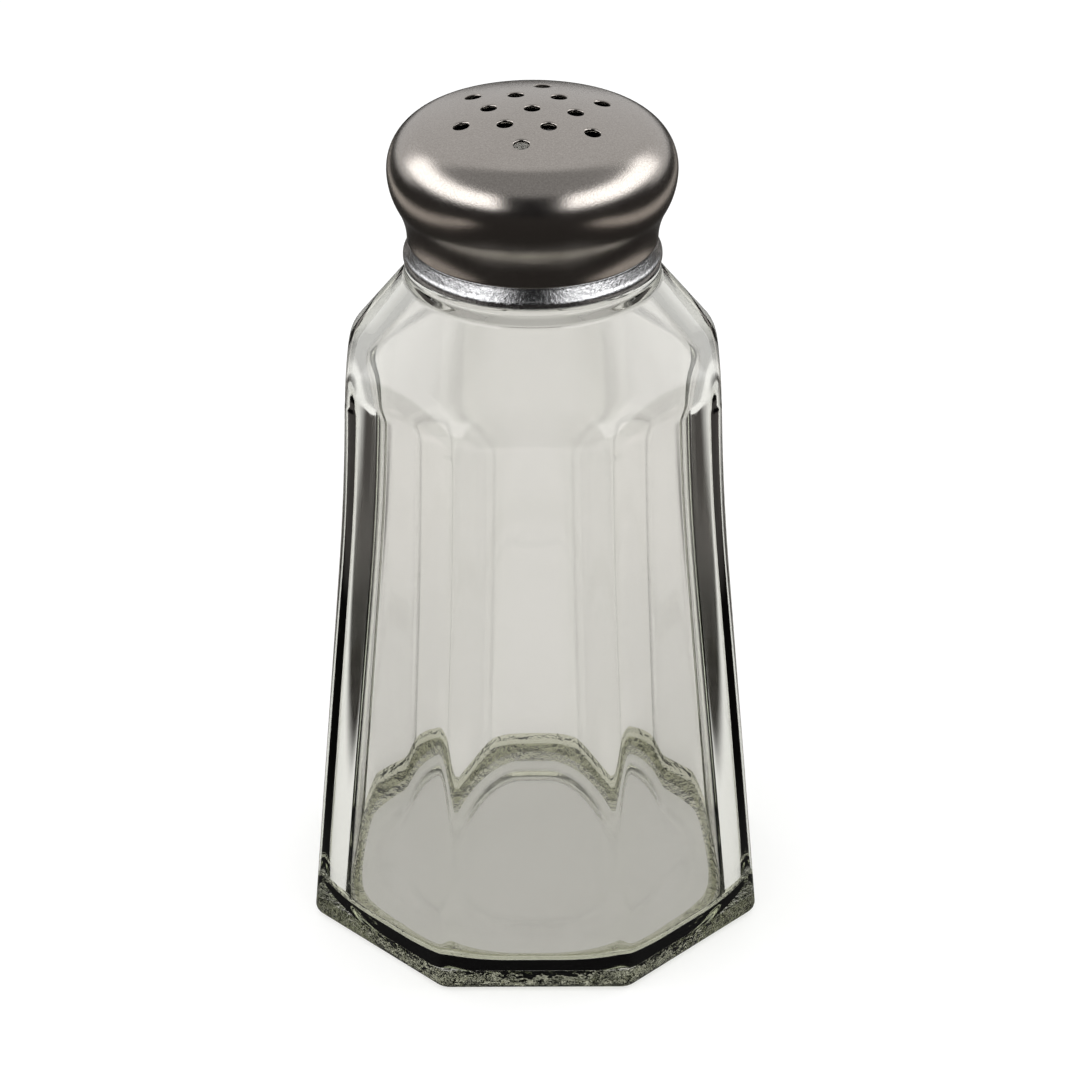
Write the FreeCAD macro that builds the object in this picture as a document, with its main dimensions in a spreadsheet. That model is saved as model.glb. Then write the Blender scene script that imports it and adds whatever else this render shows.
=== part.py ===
"""Table shaker: a panelled glass jar, a rim seal, a threaded sleeve and a domed, perforated cap shell.

Millimetres, +Z up. The origin is on the axis, at the height of the surface that the jar stands on.
"""

import FreeCAD, Part
import math
import os

import Sketcher

PARTS_FOLDER = "parts"
PANELS = 8
RING_HOLES = 6
HALF_PANEL_TURN = math.pi / PANELS
SAME_PLACE = 1e-6
# The shoulder's round gives way to its slope at these shares of the round's radius
ROUND_END_IN = 0.2
ROUND_END_UP = 0.6
# A hole counts as cut when this share of its disc of metal is gone
CUT_SHARE = 0.9

# Driving dimensions
SIZES = {
    "base_half_flat": 26.2,
    "panel_lean": 0.09,
    "prism_height": 84.0,
    "corner_radius": 3.0,
    "heel_radius": 1.4,
    "push_up": 1.5,
    "push_up_flat": 15.0,
    "rest_ring_inner": 19.0,
    "turning_clear": 32.0,
    "shoulder_low": 66.2,
    "shoulder_reach": 23.0,
    "shoulder_round": 4.0,
    "collar_radius": 14.2,
    "collar_low": 79.0,
    "collar_high": 80.6,
    "collar_edge": 0.5,
    "neck_radius": 11.8,
    "rim_height": 90.6,
    "rim_edge": 0.6,
    "wall": 2.2,
    "cavity_corner": 16.0,
    "floor_height": 2.0,
    "floor_flat": 22.4,
    "floor_round": 1.6,
    "cut_clear": 1.0,
    "bore_radius": 9.6,
    "bore_low": 79.7,
    "cavity_shoulder_low": 61.8,
    "thread_pitch": 3.0,
    "bead_low": 82.9,
    "bead_turns": 1.75,
    "bead_depth": 0.85,
    "bead_root": 1.4,
    "bead_crest": 0.6,
    "bead_overlap": 0.4,
    "sleeve_inner": 12.95,
    "sleeve_outer": 13.38,
    "sleeve_low": 80.9,
    "band_radius": 14.3,
    "band_edge": 0.35,
    "band_flat": 0.7,
    "seam_height": 83.35,
    "seam_radius": 13.65,
    "flange_low": 91.35,
    "flange_high": 91.8,
    "flange_round": 0.4,
    "flange_bore": 9.9,
    "ridge_turns": 1.25,
    "ridge_depth": 0.8,
    "ridge_root": 1.1,
    "ridge_crest": 0.5,
    "ridge_overlap": 0.3,
    "seal_outer": 12.6,
    "seal_bore": 9.8,
    "metal": 0.45,
    "apex_height": 98.4,
    "dome_radius": 44.5,
    "cap_radius": 15.9,
    "cap_wide_height": 91.57,
    "under_round": 8.1,
    "waist_radius": 13.83,
    "hole_radius": 0.88,
    "hole_pitch": 4.73,
    "hole_turn": -8.0,
    "hole_start": 102.0,
    "hole_depth": 9.0,
}


def make_sheet(doc):
    """Write every driving dimension to its own named cell."""
    sheet = doc.addObject("Spreadsheet::Sheet", "sizes")
    for row, (alias, value) in enumerate(SIZES.items(), start=1):
        sheet.set(f"A{row}", alias)
        sheet.set(f"B{row}", str(value))
        sheet.setAlias(f"B{row}", alias)
    doc.recompute()
    return sheet


def worth(owner, expression):
    """The number that an expression of sheet cells gives just now."""
    result = owner.evalExpression(expression)
    return float(getattr(result, "Value", result))


def origin_item(body, role):
    """One of the body's own origin planes or axes."""
    for item in body.Origin.OriginFeatures:
        if item.Role == role:
            return item
    raise LookupError(role)


def new_sketch(body, name, plane):
    """An empty sketch on one of the body's origin planes."""
    sketch = body.newObject("Sketcher::SketchObject", name)
    sketch.AttachmentSupport = [(origin_item(body, plane), "")]
    sketch.MapMode = "FlatFace"
    return sketch


def bind_distance(sketch, kind, geometry, end, expression):
    """Hold one end of a curve at a bound distance from the sketch's origin."""
    value = worth(sketch, expression)
    if abs(value) < SAME_PLACE:
        axis = -2 if kind == "DistanceX" else -1
        sketch.addConstraint(Sketcher.Constraint("PointOnObject", geometry, end, axis))
        return
    index = sketch.addConstraint(Sketcher.Constraint(kind, -1, 1, geometry, end, value))
    sketch.setExpression(f"Constraints[{index}]", expression)


def bind_radius(sketch, geometry, expression):
    """Hold an arc's or circle's radius at a bound value."""
    index = sketch.addConstraint(Sketcher.Constraint("Radius", geometry, worth(sketch, expression)))
    sketch.setExpression(f"Constraints[{index}]", expression)


def arc_between(start, end, radius, bulge):
    """The short arc of a radius from start to end that bulges to the left (1) or right (-1)."""
    chord = end - start
    middle = (start + end) * 0.5
    side = FreeCAD.Vector(-chord.y, chord.x, 0).normalize()
    sagitta = radius - math.sqrt(radius ** 2 - (chord.Length / 2) ** 2)
    return Part.Arc(start, middle + side * (bulge * sagitta), end)


def draw_outline(sketch, corners, arcs=None):
    """Draw a closed outline whose corners are pairs of bound expressions.

    arcs maps the number of a corner to the radius and bulge of the arc that leaves it.
    """
    arcs = arcs or {}
    points = [FreeCAD.Vector(worth(sketch, x), worth(sketch, z), 0) for x, z in corners]
    count = len(points)
    for number, point in enumerate(points):
        following = points[(number + 1) % count]
        if number in arcs:
            radius, bulge = arcs[number]
            sketch.addGeometry(arc_between(point, following, worth(sketch, radius), bulge))
        else:
            sketch.addGeometry(Part.LineSegment(point, following))
    for number in range(count):
        this_end = leaving_end(sketch, number, points[number])
        before = (number - 1) % count
        before_end = leaving_end(sketch, before, points[number])
        sketch.addConstraint(Sketcher.Constraint("Coincident", before, before_end, number, this_end))
        bind_distance(sketch, "DistanceX", number, this_end, corners[number][0])
        bind_distance(sketch, "DistanceY", number, this_end, corners[number][1])
    for number, (radius, _) in arcs.items():
        bind_radius(sketch, number, radius)


def leaving_end(sketch, geometry, point):
    """Which end of a curve, 1 or 2, lies on a point."""
    first = sketch.getPoint(geometry, 1)
    second = sketch.getPoint(geometry, 2)
    return 1 if first.distanceToPoint(point) < second.distanceToPoint(point) else 2


def turn(body, sketch, name, feature="PartDesign::Revolution"):
    """Turn a sketch of radius and height once round the axis."""
    turned = body.newObject(feature, name)
    turned.Profile = sketch
    turned.ReferenceAxis = (sketch, ["V_Axis"])
    turned.Angle = 360
    body.Tip = turned
    return turned


def turned_body(doc, name, corners, arcs=None):
    """A body made by turning one outline."""
    body = doc.addObject("PartDesign::Body", name)
    sketch = new_sketch(body, name + "_outline", "XZ_Plane")
    draw_outline(sketch, corners, arcs)
    doc.recompute()
    turn(body, sketch, name + "_turning")
    doc.recompute()
    return body


def octagon(doc, name, half_flat, height):
    """A level regular octagon, given from its centre to a flat."""
    ring = doc.addObject("Part::RegularPolygon", name)
    ring.Polygon = PANELS
    ring.setExpression("Circumradius", f"({half_flat}) / cos(180 / {PANELS})")
    ring.Placement.Rotation = FreeCAD.Rotation(FreeCAD.Vector(0, 0, 1), math.degrees(HALF_PANEL_TURN))
    ring.setExpression("Placement.Base.z", height)
    return ring


def rounded_prism(doc, name, low, high, inset, corner, heel=None):
    """A leaning eight-sided prism with rounded upright edges and, if asked, a rounded heel."""
    lean = "sizes.base_half_flat - sizes.panel_lean * ({z}) - {inset}"
    bottom = octagon(doc, name + "_foot", lean.format(z=low, inset=inset), low)
    top = octagon(doc, name + "_head", lean.format(z=high, inset=inset), high)
    loft = doc.addObject("Part::Loft", name + "_flats")
    loft.Sections = [bottom, top]
    loft.Solid = True
    loft.Ruled = True
    doc.recompute()
    floor = loft.Shape.BoundBox.ZMin
    rounded = doc.addObject("Part::Fillet", name)
    rounded.Base = loft
    edges = []
    for number, edge in enumerate(loft.Shape.Edges, start=1):
        rise = abs(edge.Vertexes[0].Z - edge.Vertexes[1].Z)
        if rise > SAME_PLACE:
            edges.append((number, worth(doc.sizes, corner), worth(doc.sizes, corner)))
        elif heel and abs(edge.Vertexes[0].Z - floor) < SAME_PLACE:
            edges.append((number, worth(doc.sizes, heel), worth(doc.sizes, heel)))
    rounded.Edges = edges
    doc.recompute()
    return rounded


def boolean(doc, kind, name, first, second):
    """Two shapes joined by a boolean of the kind named."""
    result = doc.addObject(kind, name)
    result.Base = first
    result.Tool = second
    doc.recompute()
    return result


def add_helix(doc, body, name, corners, turns):
    """Wind a small outline round the axis at the thread's pitch."""
    sketch = new_sketch(body, name + "_outline", "XZ_Plane")
    draw_outline(sketch, corners)
    doc.recompute()
    helix = body.newObject("PartDesign::AdditiveHelix", name)
    helix.Profile = sketch
    helix.ReferenceAxis = (sketch, ["V_Axis"])
    helix.Mode = 1
    helix.setExpression("Pitch", "sizes.thread_pitch")
    helix.setExpression("Turns", turns)
    body.Tip = helix
    doc.recompute()
    return helix


def make_glass_jar(doc):
    """The jar: leaning panels cut by a turned shoulder, a threaded neck and a rounded cavity."""
    slope_start = (
        f"sizes.shoulder_reach - sizes.shoulder_round * {ROUND_END_IN}",
        f"sizes.shoulder_low + sizes.shoulder_round * {ROUND_END_UP}",
    )
    outside = rounded_prism(
        doc, "panels", "0", "sizes.prism_height", "0", "sizes.corner_radius", "sizes.heel_radius"
    )
    shoulder = turned_body(
        doc,
        "shoulder_turning",
        [
            ("0", "sizes.push_up"),
            ("sizes.push_up_flat", "sizes.push_up"),
            ("sizes.rest_ring_inner", "0"),
            ("sizes.turning_clear", "0"),
            ("sizes.turning_clear", "sizes.shoulder_low"),
            ("sizes.shoulder_reach", "sizes.shoulder_low"),
            slope_start,
            ("sizes.collar_radius", "sizes.collar_low"),
            ("sizes.collar_radius", "sizes.collar_high - sizes.collar_edge"),
            ("sizes.collar_radius - sizes.collar_edge", "sizes.collar_high"),
            ("sizes.neck_radius", "sizes.collar_high"),
            ("sizes.neck_radius", "sizes.rim_height - sizes.rim_edge"),
            ("sizes.neck_radius - sizes.rim_edge", "sizes.rim_height"),
            ("0", "sizes.rim_height"),
        ],
        {5: ("sizes.shoulder_round", -1), 8: ("sizes.collar_edge", -1), 11: ("sizes.rim_edge", -1)},
    )
    body_block = boolean(doc, "Part::Common", "body_block", tall_prism(doc, outside), shoulder)
    bead = doc.addObject("PartDesign::Body", "bead_body")
    add_helix(
        doc,
        bead,
        "bead",
        [
            ("sizes.neck_radius - sizes.bead_overlap", "sizes.bead_low - sizes.bead_root / 2"),
            ("sizes.neck_radius + sizes.bead_depth", "sizes.bead_low - sizes.bead_crest / 2"),
            ("sizes.neck_radius + sizes.bead_depth", "sizes.bead_low + sizes.bead_crest / 2"),
            ("sizes.neck_radius - sizes.bead_overlap", "sizes.bead_low + sizes.bead_root / 2"),
        ],
        "sizes.bead_turns",
    )
    threaded = boolean(doc, "Part::Fuse", "threaded_block", body_block, bead)
    inside = rounded_prism(
        doc,
        "cavity_panels",
        "sizes.floor_height - sizes.cut_clear",
        "sizes.prism_height",
        "sizes.wall",
        "sizes.cavity_corner",
    )
    hollow = turned_body(
        doc,
        "cavity_turning",
        [
            ("0", "sizes.floor_height + sizes.push_up"),
            ("sizes.push_up_flat", "sizes.floor_height + sizes.push_up"),
            ("sizes.rest_ring_inner", "sizes.floor_height"),
            ("sizes.floor_flat", "sizes.floor_height"),
            ("sizes.floor_flat + sizes.floor_round", "sizes.floor_height + sizes.floor_round"),
            ("sizes.floor_flat + sizes.floor_round", "sizes.cavity_shoulder_low"),
            ("sizes.bore_radius", "sizes.bore_low"),
            ("sizes.bore_radius", "sizes.prism_height"),
            ("0", "sizes.prism_height"),
        ],
        {3: ("sizes.floor_round", -1)},
    )
    cavity = boolean(doc, "Part::Common", "cavity", inside, hollow)
    bored = boolean(doc, "Part::Cut", "jar_without_bore", threaded, cavity)
    bore = doc.addObject("Part::Cylinder", "bore")
    bore.setExpression("Radius", "sizes.bore_radius")
    bore.setExpression("Height", "sizes.rim_height - sizes.bore_low + 2 * sizes.cut_clear")
    bore.setExpression("Placement.Base.z", "sizes.bore_low - sizes.cut_clear")
    doc.recompute()
    return boolean(doc, "Part::Cut", "glass_jar", bored, bore)


def tall_prism(doc, panels):
    """The panels with a plain round post on top, so that the neck outlives the common cut."""
    post = doc.addObject("Part::Cylinder", "neck_post")
    post.setExpression("Radius", "sizes.collar_radius")
    post.setExpression("Height", "sizes.rim_height - sizes.shoulder_low")
    post.setExpression("Placement.Base.z", "sizes.shoulder_low")
    doc.recompute()
    return boolean(doc, "Part::Fuse", "panels_and_post", panels, post)


def make_threaded_sleeve(doc):
    """The sleeve: a thin tube with a rolled thread inside, a flange above and a flared band below."""
    sleeve = turned_body(
        doc,
        "threaded_sleeve",
        [
            ("sizes.sleeve_inner", "sizes.sleeve_low"),
            ("sizes.band_radius - sizes.band_edge", "sizes.sleeve_low"),
            ("sizes.band_radius", "sizes.sleeve_low + sizes.band_edge"),
            ("sizes.band_radius", "sizes.sleeve_low + sizes.band_edge + sizes.band_flat"),
            ("sizes.seam_radius", "sizes.seam_height"),
            ("sizes.sleeve_outer", "sizes.seam_height"),
            ("sizes.sleeve_outer", "sizes.flange_high - sizes.flange_round"),
            ("sizes.sleeve_outer - sizes.flange_round", "sizes.flange_high"),
            ("sizes.flange_bore", "sizes.flange_high"),
            ("sizes.flange_bore", "sizes.flange_low"),
            ("sizes.sleeve_inner", "sizes.flange_low"),
        ],
        {1: ("sizes.band_edge", -1), 6: ("sizes.flange_round", -1)},
    )
    middle = "sizes.bead_low + sizes.thread_pitch / 2"
    add_helix(
        doc,
        sleeve,
        "ridge",
        [
            ("sizes.sleeve_inner + sizes.ridge_overlap", f"{middle} - sizes.ridge_root / 2"),
            ("sizes.sleeve_inner - sizes.ridge_depth", f"{middle} - sizes.ridge_crest / 2"),
            ("sizes.sleeve_inner - sizes.ridge_depth", f"{middle} + sizes.ridge_crest / 2"),
            ("sizes.sleeve_inner + sizes.ridge_overlap", f"{middle} + sizes.ridge_root / 2"),
        ],
        "sizes.ridge_turns",
    )
    return sleeve


def make_rim_seal(doc):
    """The seal: a flat ring held between the jar's rim and the sleeve's flange."""
    return turned_body(
        doc,
        "rim_seal",
        [
            ("sizes.seal_bore", "sizes.rim_height"),
            ("sizes.seal_outer", "sizes.rim_height"),
            ("sizes.seal_outer", "sizes.flange_low"),
            ("sizes.seal_bore", "sizes.flange_low"),
        ],
    )


def draw_shell_skin(sketch, first, thickness):
    """Draw one skin of the cap, from the apex down to the waist, a set thickness inside the outer one."""
    apex = worth(sketch, "sizes.apex_height")
    dome = worth(sketch, "sizes.dome_radius")
    wide = worth(sketch, "sizes.cap_radius")
    level = worth(sketch, "sizes.cap_wide_height")
    under = worth(sketch, "sizes.under_round")
    waist = worth(sketch, "sizes.waist_radius")
    seam = worth(sketch, "sizes.seam_height")
    rise = level - apex + dome
    rim = (wide ** 2 + rise ** 2 - dome ** 2) / (2 * (wide - dome))
    sweep = 2 * math.atan2(wide - waist, level - seam)
    hollow = (level - seam) / math.sin(sweep) - under
    lean = math.atan2(rise, wide - rim)
    axis = FreeCAD.Vector(0, 0, 1)
    arcs = [
        (0, apex - dome, dome - thickness, lean, math.pi / 2),
        (wide - rim, level, rim - thickness, 0, lean),
        (wide - under, level, under - thickness, -sweep, 0),
        (waist + hollow, seam, hollow + thickness, math.pi - sweep, math.pi),
    ]
    for centre_x, centre_z, radius, start, end in arcs:
        circle = Part.Circle(FreeCAD.Vector(centre_x, centre_z, 0), axis, radius)
        sketch.addGeometry(Part.ArcOfCircle(circle, start, end))
    dome_arc, rim_arc, under_arc, waist_arc = range(first, first + 4)
    sketch.addConstraint(Sketcher.Constraint("Tangent", dome_arc, 1, rim_arc, 2))
    sketch.addConstraint(Sketcher.Constraint("Tangent", under_arc, 1, waist_arc, 1))
    return dome_arc, rim_arc, under_arc, waist_arc


def make_cap_shell(doc):
    """The shell: one pressed skin with a domed top, a rounded rim, a drawn-in waist and 13 holes."""
    shell = doc.addObject("PartDesign::Body", "cap_shell")
    sketch = new_sketch(shell, "shell_outline", "XZ_Plane")
    dome, rim, under, waist = draw_shell_skin(sketch, 0, 0)
    sketch.addConstraint(Sketcher.Constraint("PointOnObject", dome, 3, -2))
    sketch.addConstraint(Sketcher.Constraint("PointOnObject", dome, 2, -2))
    sketch.addConstraint(Sketcher.Constraint("Tangent", rim, 1, under, 2))
    sketch.addConstraint(Sketcher.Constraint("Horizontal", rim, 3, rim, 1))
    sketch.addConstraint(Sketcher.Constraint("Horizontal", waist, 3, waist, 2))
    bind_distance(sketch, "DistanceY", dome, 2, "sizes.apex_height")
    bind_distance(sketch, "DistanceX", rim, 1, "sizes.cap_radius")
    bind_distance(sketch, "DistanceY", rim, 1, "sizes.cap_wide_height")
    bind_distance(sketch, "DistanceX", waist, 2, "sizes.waist_radius")
    bind_distance(sketch, "DistanceY", waist, 2, "sizes.seam_height")
    bind_radius(sketch, dome, "sizes.dome_radius")
    bind_radius(sketch, under, "sizes.under_round")
    inner = draw_shell_skin(sketch, 4, worth(sketch, "sizes.metal"))
    for outer_arc, inner_arc in zip((dome, rim, under, waist), inner):
        sketch.addConstraint(Sketcher.Constraint("Coincident", outer_arc, 3, inner_arc, 3))
    sketch.addConstraint(Sketcher.Constraint("PointOnObject", inner[0], 2, -2))
    sketch.addConstraint(Sketcher.Constraint("Coincident", inner[1], 1, inner[2], 2))
    sketch.addConstraint(Sketcher.Constraint("Horizontal", inner[3], 3, inner[3], 2))
    bind_radius(sketch, inner[0], "sizes.dome_radius - sizes.metal")
    crown = sketch.addGeometry(Part.LineSegment(sketch.getPoint(dome, 2), sketch.getPoint(inner[0], 2)))
    lip = sketch.addGeometry(Part.LineSegment(sketch.getPoint(waist, 2), sketch.getPoint(inner[3], 2)))
    for line, outer_arc, inner_arc in ((crown, dome, inner[0]), (lip, waist, inner[3])):
        sketch.addConstraint(Sketcher.Constraint("Coincident", line, 1, outer_arc, 2))
        sketch.addConstraint(Sketcher.Constraint("Coincident", line, 2, inner_arc, 2))
    doc.recompute()
    turn(shell, sketch, "shell_turning")
    doc.recompute()
    add_holes(doc, shell, "middle_hole", "0", "0", 1)
    turn_of_pattern = "(sizes.hole_turn * 1deg)"
    add_holes(
        doc,
        shell,
        "near_holes",
        f"sizes.hole_pitch * cos{turn_of_pattern}",
        f"sizes.hole_pitch * sin{turn_of_pattern}",
        RING_HOLES,
    )
    turn_of_far = "(sizes.hole_turn * 1deg + 30deg)"
    add_holes(
        doc,
        shell,
        "far_holes",
        f"sizes.hole_pitch * sqrt(3) * cos{turn_of_far}",
        f"sizes.hole_pitch * sqrt(3) * sin{turn_of_far}",
        RING_HOLES,
    )
    return shell


def add_holes(doc, shell, name, along, across, count):
    """Punch a ring of round holes down through the dome and check that each one cut metal."""
    before = shell.Shape.Volume
    sketch = new_sketch(shell, name + "_outline", "XY_Plane")
    sketch.setExpression("AttachmentOffset.Base.z", "sizes.hole_start")
    centre = FreeCAD.Vector(worth(sketch, along), worth(sketch, across), 0)
    radius = worth(sketch, "sizes.hole_radius")
    circle = sketch.addGeometry(Part.Circle(centre, FreeCAD.Vector(0, 0, 1), radius))
    bind_distance(sketch, "DistanceX", circle, 3, along)
    bind_distance(sketch, "DistanceY", circle, 3, across)
    bind_radius(sketch, circle, "sizes.hole_radius")
    doc.recompute()
    pocket = shell.newObject("PartDesign::Pocket", name)
    pocket.Profile = sketch
    pocket.setExpression("Length", "sizes.hole_depth")
    shell.Tip = pocket
    doc.recompute()
    if count > 1:
        pattern = shell.newObject("PartDesign::PolarPattern", name + "_ring")
        pattern.Originals = [pocket]
        pattern.Axis = (sketch, ["N_Axis"])
        pattern.Angle = 360
        pattern.Occurrences = count
        shell.Tip = pattern
        doc.recompute()
    least = count * CUT_SHARE * math.pi * radius ** 2 * worth(shell, "sizes.metal")
    removed = before - shell.Shape.Volume
    if removed < least:
        raise ValueError(f"{name} cut only {removed:.3f} of {least:.3f} cubic millimetres")


def check_document(doc, sub_parts):
    """Stop if any object failed or any sub-part has no sound solid."""
    for item in doc.Objects:
        if "Invalid" in item.State or "Error" in item.State:
            raise RuntimeError(f"{item.Label} is in state {item.State}")
    for item in sub_parts:
        shape = item.Shape
        if shape.isNull() or not shape.isValid() or not shape.Solids:
            raise RuntimeError(f"{item.Label} has no sound solid")


def main():
    """Build the document, check it and write one file for each sub-part."""
    doc = FreeCAD.newDocument("table_shaker")
    make_sheet(doc)
    sub_parts = [
        make_glass_jar(doc),
        make_rim_seal(doc),
        make_threaded_sleeve(doc),
        make_cap_shell(doc),
    ]
    doc.recompute()
    check_document(doc, sub_parts)
    os.makedirs(PARTS_FOLDER, exist_ok=True)
    for item in sub_parts:
        item.Shape.exportStep(f"{PARTS_FOLDER}/{item.Label}.step")
        box = item.Shape.optimalBoundingBox()
        print(
            f"{item.Label}: {len(item.Shape.Solids)} solid, {item.Shape.Volume / 1000:.2f} ml, "
            f"z {box.ZMin:.2f} to {box.ZMax:.2f}, width {box.XLength:.2f}"
        )
    space = doc.cavity.Shape.Volume / 1000
    print(f"cavity below the bore: {space:.1f} ml")


main()
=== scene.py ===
"""A table spice shaker: a panelled glass jar, a rim seal, a threaded sleeve and a perforated steel cap."""

from __future__ import annotations

import logging
import math
from collections.abc import Callable, Sequence
from dataclasses import dataclass
from enum import Enum

import bmesh
import bpy
from mathutils import Matrix, Vector
from mathutils.geometry import delaunay_2d_cdt

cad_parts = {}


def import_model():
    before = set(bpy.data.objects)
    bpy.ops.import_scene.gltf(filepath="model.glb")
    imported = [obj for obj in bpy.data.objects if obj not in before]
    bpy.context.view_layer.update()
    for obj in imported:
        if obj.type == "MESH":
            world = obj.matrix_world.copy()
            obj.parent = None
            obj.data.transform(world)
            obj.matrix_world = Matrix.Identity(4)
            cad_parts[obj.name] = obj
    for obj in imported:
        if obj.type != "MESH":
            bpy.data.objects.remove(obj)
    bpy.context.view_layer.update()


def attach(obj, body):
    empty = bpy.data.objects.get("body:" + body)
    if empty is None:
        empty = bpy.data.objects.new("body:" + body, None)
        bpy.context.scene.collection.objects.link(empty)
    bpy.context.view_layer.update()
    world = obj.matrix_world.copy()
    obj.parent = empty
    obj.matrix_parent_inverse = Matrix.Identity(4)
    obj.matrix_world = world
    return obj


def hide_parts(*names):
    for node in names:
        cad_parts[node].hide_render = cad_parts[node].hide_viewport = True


LOG = logging.getLogger("shaker")
TURN = 2.0 * math.pi
# The pieces' sizes are in millimetres, and one of them is this many metres
MM = 0.001
# Points nearer than this, in metres, are one point
NEAR = 1e-7
# The same for the flat net of the cap's plate, in millimetres
NET_NEAR = 1e-6
ACROSS_AXIS = (1.0, 1.0, 0.0)
WHITE = (1.0, 1.0, 1.0)
# The numbers of a colour mix node's sockets
MIX_FIRST = 6
MIX_SECOND = 7
MIX_RESULT = 2

Point = tuple[float, float]
Colour = tuple[float, float, float]
Ring = list[Vector]
Faces = list[tuple[int, ...]]


class Body(Enum):
    """The moving bodies that pieces ride on."""

    JAR = "jar"
    SEAL = "seal"
    CAP = "cap"


class Slot(Enum):
    """The record's material slots."""

    GLASS = "clear_glass"
    SEAL = "seal_liner"
    SLEEVE = "sleeve_metal"
    SHELL = "shell_steel"


class Effect(Enum):
    """The effects that several finishes share, by the names of their node groups."""

    GRAIN = "metal_grain"
    HANDLING = "handling_marks"
    STIPPLE = "mould_stipple"


# Small shape helpers


def blend(low: float, high: float, share: float) -> float:
    """Return the value a share of the way from low to high."""
    return low + (high - low) * share


def ease(value: float) -> float:
    """Return a share from 0 to 1 with soft ends."""
    value = min(max(value, 0.0), 1.0)
    return value * value * (3.0 - 2.0 * value)


def soft_min(first: float, second: float, softness: float) -> float:
    """Return the smaller of two lengths, rounded off where they meet.

    Args:
        first: One length.
        second: The other length.
        softness: How far from the meeting the rounding reaches.

    Returns:
        The rounded smaller length.
    """
    gap = max(softness - abs(first - second), 0.0) / softness
    return min(first, second) - gap * gap * softness * 0.25


def arc(centre: Point, radius: float, start: float, end: float, steps: int) -> list[Point]:
    """Return points along an arc in the radius and height plane.

    Args:
        centre: The arc's centre.
        radius: The arc's radius.
        start: The start angle in degrees, from outwards towards up.
        end: The end angle in degrees.
        steps: The number of spans.

    Returns:
        The points, both ends included.
    """
    points = []
    for step in range(steps + 1):
        angle = math.radians(blend(start, end, step / steps))
        points.append((centre[0] + radius * math.cos(angle), centre[1] + radius * math.sin(angle)))
    return points


def straight(start: Point, end: Point, steps: int) -> list[Point]:
    """Return evenly spaced points between two places.

    Args:
        start: The first place.
        end: The last place.
        steps: The number of spans.

    Returns:
        The points, without the first.
    """
    return [
        (blend(start[0], end[0], step / steps), blend(start[1], end[1], step / steps))
        for step in range(1, steps + 1)
    ]


def turned_ring(radius: float, level: float, around: int) -> Ring:
    """Return a level circle of evenly spaced vertices round the axis."""
    angles = [TURN * column / around for column in range(around)]
    return [Vector((radius * math.cos(angle), radius * math.sin(angle), level)) for angle in angles]


def new_object(name: str, vertices: Sequence[Vector], faces: Sequence[Sequence[int]]) -> bpy.types.Object:
    """Make a smooth mesh object from vertices in millimetres.

    Args:
        name: The piece's name.
        vertices: The places in millimetres.
        faces: The vertex numbers of each face.

    Returns:
        The linked object, with its normals facing outwards.
    """
    mesh = bpy.data.meshes.new(name)
    mesh.from_pydata([vertex * MM for vertex in vertices], [], faces)
    work = bmesh.new()
    work.from_mesh(mesh)
    bmesh.ops.remove_doubles(work, verts=work.verts, dist=NEAR)
    bmesh.ops.recalc_face_normals(work, faces=work.faces)
    work.to_mesh(mesh)
    work.free()
    mesh.polygons.foreach_set("use_smooth", [True] * len(mesh.polygons))
    mesh.update()
    piece = bpy.data.objects.new(name, mesh)
    bpy.context.scene.collection.objects.link(piece)
    return piece


def skin_rings(rings: Sequence[Ring], closed: bool) -> tuple[list[Vector], Faces]:
    """Join rings of equal length into a skin of quads.

    Args:
        rings: The rings, in order.
        closed: Whether the last ring joins the first one again.

    Returns:
        The vertices and the faces.
    """
    around = len(rings[0])
    vertices = [vertex for ring in rings for vertex in ring]
    faces: Faces = []
    pairs = len(rings) if closed else len(rings) - 1
    for row in range(pairs):
        low = row * around
        high = ((row + 1) % len(rings)) * around
        for column in range(around):
            following = (column + 1) % around
            faces.append((low + column, low + following, high + following, high + column))
    return vertices, faces


def add_pole(vertices: list[Vector], faces: Faces, first: int, around: int, pole: Vector) -> None:
    """Close a ring with a fan to one new vertex.

    Args:
        vertices: The vertices so far.
        faces: The faces so far.
        first: The number of the ring's first vertex.
        around: The ring's length.
        pole: The place of the fan's middle.
    """
    middle = len(vertices)
    vertices.append(pole)
    for column in range(around):
        faces.append((first + column, first + (column + 1) % around, middle))


@dataclass(frozen=True)
class Helix:
    """A thread's ridge, wound round the axis."""

    low: float
    pitch: float
    turns: float
    depth: float
    root: float
    crest: float
    fade: float = 0.12
    slack: float = 0.98

    def height(self, angle: float, level: float) -> float:
        """Return how far the ridge stands out.

        Args:
            angle: The angle round the axis, in radians from 0 to one turn.
            level: The height in millimetres.

        Returns:
            The ridge's height in millimetres, a little less than the CAD's, to stay inside it.
        """
        best = 0.0
        for lap in range(int(self.turns) + 2):
            along = angle / TURN + lap
            if along > self.turns:
                break
            away = abs(level - self.low - self.pitch * along)
            rise = ease((self.root / 2 - away) / ((self.root - self.crest) / 2))
            ends = ease(along / self.fade) * ease((self.turns - along) / self.fade)
            best = max(best, rise * ends * self.depth)
        return best * self.slack


# Shader node helpers


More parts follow.
